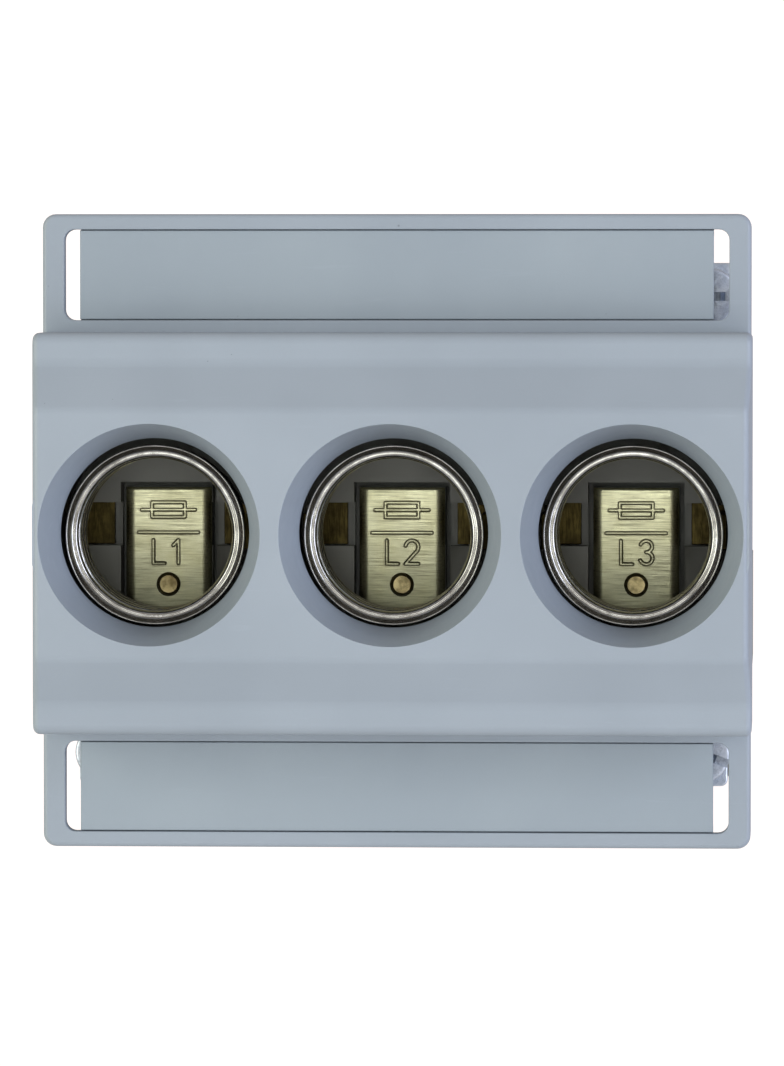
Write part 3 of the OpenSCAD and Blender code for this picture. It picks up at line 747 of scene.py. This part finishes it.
def screw_head():
    """Cheese head with a softened edge, a slightly domed face and a slotted cross recess, at the origin."""
    r, h, edge_r = HEAD_R, HEAD_HEIGHT, 0.35
    face = [(0, 0.0), (1.6, 0.02), (2.7, 0.08)]
    edge = arc_points(r - edge_r, 0.45, edge_r, edge_r, -90, 0, 4)
    head = lathe("head", face + edge + [(r, h - 0.12), (r - 0.12, h), (0, h)], 0, 0, 72)
    cuts = [block("cut", (-r - 1, r + 1), (-1, 0.85), (-0.5, 0.5))]
    for turn in (0, 90):
        outline = [(-2.0, -1), (2.0, -1), (1.75, 0.9), (1.25, 1.5), (-1.25, 1.5), (-1.75, 0.9)]
        arm = prism("cut", outline, "z", -0.5, 0.5)
        arm.data.transform(Matrix.Rotation(math.radians(turn), 4, "Y"))
        cuts.append(arm)
    boolean(head, cuts)
    bevel(head, 0.09, lambda e, a, m: a > 50 and m.y < 0.5, 2)
    return head


def screw_thread(length, start):
    """Threaded shank with a helical ridge and a chamfered tip."""
    r, depth, pitch, segments = 2.5, 0.32, 0.8, 40
    rows = int(length / 0.1)
    vertices, faces = [(0, start, 0)], []
    for row in range(rows + 1):
        y = length * row / rows
        chamfer = max(0.0, 0.6 - (length - y))
        fade = min(1.0, y / 0.8)
        for i in range(segments):
            a = 2 * math.pi * i / segments
            phase = (y / pitch + a / (2 * math.pi)) % 1.0
            groove = depth * fade * (1 - abs(2 * phase - 1))
            radius = min(r - groove, r - chamfer)
            vertices.append((radius * math.cos(a), start + y, radius * math.sin(a)))
    last = len(vertices)
    vertices.append((0, start + length, 0))
    for i in range(segments):
        j = (i + 1) % segments
        faces.append([0, 1 + i, 1 + j])
        faces.append([last, last - segments + i, last - segments + j])
        for row in range(rows):
            k = 1 + row * segments
            faces.append([k + i, k + j, k + segments + j, k + segments + i])
    return fix_normals(new_object("thread", vertices, faces))


# Turned position of each screw in degrees, in the order of the sorted node names.
SCREW_TURNS = (90, 15, 130, 65, 90, 20, 150, 75, 110, 40, 5, 90)


def build_screws():
    """All twelve terminal screws, as moved copies of one."""
    low, high = box_mm("upper_screw_1a")
    shank_start = HEAD_HEIGHT - 0.05
    model = join([screw_head(), screw_thread(high[1] - low[1] - shank_start, shank_start)], "screw")
    smooth(model, 40)
    for number, node in enumerate(sorted(n for n in BODY_OF if "_screw_" in n)):
        low, high = box_mm(node)
        mesh = model.data.copy()
        mesh.transform(Matrix.Rotation(math.radians(SCREW_TURNS[number]), 4, "Y"))
        place = ((low[0] + high[0]) / 2, low[1], (low[2] + high[2]) / 2)
        mesh.transform(Matrix.Translation([v * MM for v in place]))
        obj = bpy.data.objects.new(node + "_look", mesh)
        bpy.context.scene.collection.objects.link(obj)
        stand_for(smooth(obj, 40), [node], materials["zinc"])
    bpy.data.objects.remove(model)


def build_clamp(node):
    """Saddle plate with two holes, softened edges and teeth behind it."""
    low, high = box_mm(node)
    x, z = (low[0] + high[0]) / 2, (low[2] + high[2]) / 2
    outline = rounded((high[0] - low[0]) / 2, (high[2] - low[2]) / 2, 0.8, centre=(x, z))
    plate = prism("clamp", outline, "y", low[1], high[1])
    back = high[1]
    hole_r, hole_x = 2.55, 7.9
    hole = [(0, low[1] - 1), (hole_r, low[1] - 1), (hole_r, back + 1), (0, back + 1)]
    cuts = [lathe("cut", hole, x + dx, z, 40) for dx in (-hole_x, hole_x)]
    cuts += [prism("cut", [(back - 0.4, z + dz), (back + 0.2, z + dz - 0.6), (back + 0.2, z + dz + 0.6)], "x",
                   x - 4.5, x + 4.5) for dz in (-2, 0, 2)]
    boolean(plate, cuts)
    bevel(plate, 0.22, lambda e, a, m: a > 60 and m.y < low[1] + 0.02, 3)
    bevel(plate, 0.12, lambda e, a, m: a > 60 and m.y > back - 0.02 and abs(m.x - x) > 5, 2)
    return plate


def build_spring(node):
    """Compression spring of round wire with closed end turns, standing on the base's lug."""
    low, high = box_mm(node)
    wire, turns, per_turn, sides = 0.2, 6.5, 36, 10
    radius = (high[0] - low[0]) / 2 - wire
    x, y = (low[0] + high[0]) / 2, (low[1] + high[1]) / 2
    bottom, top = low[2] + wire, high[2] - wire
    steps = int(turns * per_turn)
    vertices = []
    for i in range(steps + 1):
        angle = 2 * math.pi * i / per_turn
        share = min(max((i / per_turn - 0.75) / (turns - 1.5), 0), 1)
        closed = 2 * wire * 0.5 * (min(i / per_turn, 0.75) - min(turns - i / per_turn, 0.75)) / 0.75
        z = bottom + wire + (top - bottom - 2 * wire) * share + closed
        for k in range(sides):
            a = 2 * math.pi * k / sides
            r = radius + wire * math.cos(a)
            vertices.append((x + r * math.cos(angle), y + r * math.sin(angle), z + wire * math.sin(a)))
    faces = [list(range(sides)), [steps * sides + k for k in reversed(range(sides))]]
    for i in range(steps):
        for k in range(sides):
            j = (k + 1) % sides
            faces.append([i * sides + k, i * sides + j, (i + 1) * sides + j, (i + 1) * sides + k])
    spring = fix_normals(new_object(node + "_look", vertices, faces))
    spring.data.shade_smooth()
    spring.data.materials.append(materials["spring"])
    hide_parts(node)
    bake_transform(spring)


# ---------------------------------------------------------------- softened CAD pieces

def copied(node):
    """Copy of a CAD node's mesh at its place in the frame."""
    obj = bpy.data.objects.new(node + "_copy", frame["nodes"][node].data.copy())
    bpy.context.scene.collection.objects.link(obj)
    bm = bmesh.new()
    bm.from_mesh(obj.data)
    bmesh.ops.transform(bm, matrix=frame["nodes"][node].matrix_world, verts=bm.verts)
    bmesh.ops.remove_doubles(bm, verts=bm.verts, dist=0.002 * MM)
    bm.to_mesh(obj.data)
    bm.free()
    return obj


def softened(name, nodes, width):
    """CAD nodes as one piece with its sharp outer edges rounded."""
    first, *others = [copied(node) for node in nodes]
    first.name = name
    boolean(first, others, "UNION")
    clean(first, 0.8)
    bevel(first, width, lambda e, a, m: a > 40 and e.is_convex, 2)
    return first


def build_base():
    """The base moulding with a deep, dark gap round each contact."""
    base = softened("base_moulding", BASE_NODES, 0.3)
    clear, reach = 0.05, 0.6
    inner, outer = CONTACT_HALF + clear, CONTACT_HALF + reach
    top, bottom = CONTACT_HIGH[2], -9.2
    y = (CONTACT_Y - 1, CONTACT_Y + 5)
    for x in POLE_X:
        gaps = [block("gap", (x - outer, x - inner), y, (bottom, top + reach)),
                block("gap", (x + inner, x + outer), y, (bottom, top + reach)),
                block("gap", (x - outer, x + outer), y, (top + clear, top + reach))]
        boolean(base, gaps)
    return base


# ---------------------------------------------------------------- stage, light and camera

FLOOR_Z, FLOOR_HALF = -250, 800
SKY_LIGHT, SKY_SEEN = 0.40, 1.15
CAMERA_AZIMUTH, CAMERA_ELEVATION = math.radians(3.0), math.radians(2.0)
CAMERA_DISTANCE, LENS, SENSOR = 0.818, 247.5, 36.0
AIM = (0.27 * MM, FRONT_Y * MM, 0.30 * MM)


def area_light(name, place, target, size, power, colour):
    """Soft rectangular light that faces its target; places and sizes are in metres, power in watts."""
    data = bpy.data.lights.new(name, "AREA")
    data.shape = "RECTANGLE"
    data.size, data.size_y = size
    data.energy = power
    data.color = colour
    obj = bpy.data.objects.new(name, data)
    obj.location = place
    obj.rotation_euler = (Vector(target) - Vector(place)).to_track_quat("-Z", "Y").to_euler()
    bpy.context.scene.collection.objects.link(obj)


def build_stage():
    """Plain pale floor under a pale studio sky."""
    corners = ((-1, -1), (1, -1), (1, 1), (-1, 1))
    floor = new_object("floor", [(x * FLOOR_HALF, y * FLOOR_HALF, FLOOR_Z) for x, y in corners],
                       [[0, 1, 2, 3]])
    n = Nodes("floor_paint")
    tone = n.ramp(n.noise(0.002, 2.0), 0.3, 0.7, 0.0, 1.0)
    colour = n.mix(tone, (0.90, 0.90, 0.90, 1), (0.92, 0.92, 0.92, 1))
    n.link(colour, n.shader.inputs["Base Color"])
    n.set(Roughness=0.9)
    floor.data.materials.append(n.material)
    floor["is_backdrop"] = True
    world = bpy.data.worlds.new("studio")
    world.use_nodes = True
    tree = world.node_tree
    background = tree.nodes["Background"]
    path = tree.nodes.new("ShaderNodeLightPath")
    level = tree.nodes.new("ShaderNodeMapRange")
    level.inputs["To Min"].default_value = SKY_LIGHT
    level.inputs["To Max"].default_value = SKY_SEEN
    tree.links.new(path.outputs["Is Camera Ray"], level.inputs["Value"])
    tree.links.new(level.outputs["Result"], background.inputs["Strength"])
    background.inputs["Color"].default_value = (1.0, 0.94, 0.92, 1)
    bpy.context.scene.world = world


def build_lights():
    """Two large softboxes at the sides and three weak ones in front, above and below."""
    centre = (0, FRONT_Y * MM, 0)
    area_light("left_box", (-0.90, -0.62, 0.10), centre, (0.5, 0.9), 6.4, (0.95, 1.0, 0.88))
    area_light("right_box", (0.90, -0.62, 0.08), centre, (0.5, 0.9), 8.0, (0.74, 0.81, 1.0))
    area_light("front_box", (-0.04, -1.25, 0.08), centre, (0.35, 0.25), 0.75, (0.92, 1.0, 0.97))
    area_light("top_box", (0.0, -0.50, 0.85), centre, (0.8, 0.4), 0.24, (1.0, 1.0, 1.0))
    area_light("low_box", (0.0, -0.80, -0.20), centre, (0.8, 0.2), 0.5, (1.0, 1.0, 1.0))


def build_camera():
    """Long lens in front of the object, a little to the right and above, as in a catalogue picture."""
    data = bpy.data.cameras.new("camera")
    data.sensor_width = SENSOR
    data.lens = LENS
    data.clip_start, data.clip_end = 0.01, 50
    camera = bpy.data.objects.new("camera", data)
    a, e = CAMERA_AZIMUTH, CAMERA_ELEVATION
    back = Vector((math.sin(a) * math.cos(e), -math.cos(a) * math.cos(e), math.sin(e)))
    camera.location = Vector(AIM) + back * CAMERA_DISTANCE
    camera.rotation_euler = back.to_track_quat("Z", "Y").to_euler()
    bpy.context.scene.collection.objects.link(camera)
    bpy.context.scene.camera = camera
    bpy.context.scene.view_settings.view_transform = "Standard"


# ---------------------------------------------------------------- build

materials = make_materials()
build_camera()
build_stage()
build_lights()

stand_for(smooth(build_cover()), COVER_NODES, materials["cover"])
for side, node in ((1, "upper_marking_strip"), (-1, "lower_marking_strip")):
    stand_for(smooth(build_strip(side)), [node], materials["strip"])
for n in POLES:
    x = POLE_X[n - 1]
    stand_for(smooth(build_shell(x), 50), [f"thread_shell_{n}"], materials["shell"])
    stand_for(smooth(build_contact(n), 60), [f"bottom_contact_{n}"], materials["contact"])
    strap = softened(f"brass_strap_{n}", [f"shell_strap_{n}"], 0.2)
    stand_for(smooth(strap), [f"shell_strap_{n}"], materials["brass"])
build_screws()
for node in sorted(n for n in BODY_OF if "_clamp_" in n):
    stand_for(smooth(build_clamp(node)), [node], materials["zinc"])
stand_for(smooth(build_base()), BASE_NODES, materials["base"])
for side in ("left", "right"):
    node = f"rail_latch_{side}"
    stand_for(smooth(softened(node + "_look", [node], 0.25)), [node], materials["latch"])
    build_spring(f"latch_spring_{side}")

# The small brass screws and the nuts keep their CAD shape and only get a material.
SLOT_OF = {part["node"]: part["material_slot"] for part in frame["record"]["subparts"]}
LOOKS = {"raw_brass": "screw_brass", "zinc_steel": "zinc"}
for node, obj in frame["nodes"].items():
    if not obj.hide_render:
        obj.data.materials.clear()
        obj.data.materials.append(materials[LOOKS[SLOT_OF[node]]])
        smooth(obj, 40)

{"cad": CAD_BOX, "visual": [list(corner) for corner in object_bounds()]}
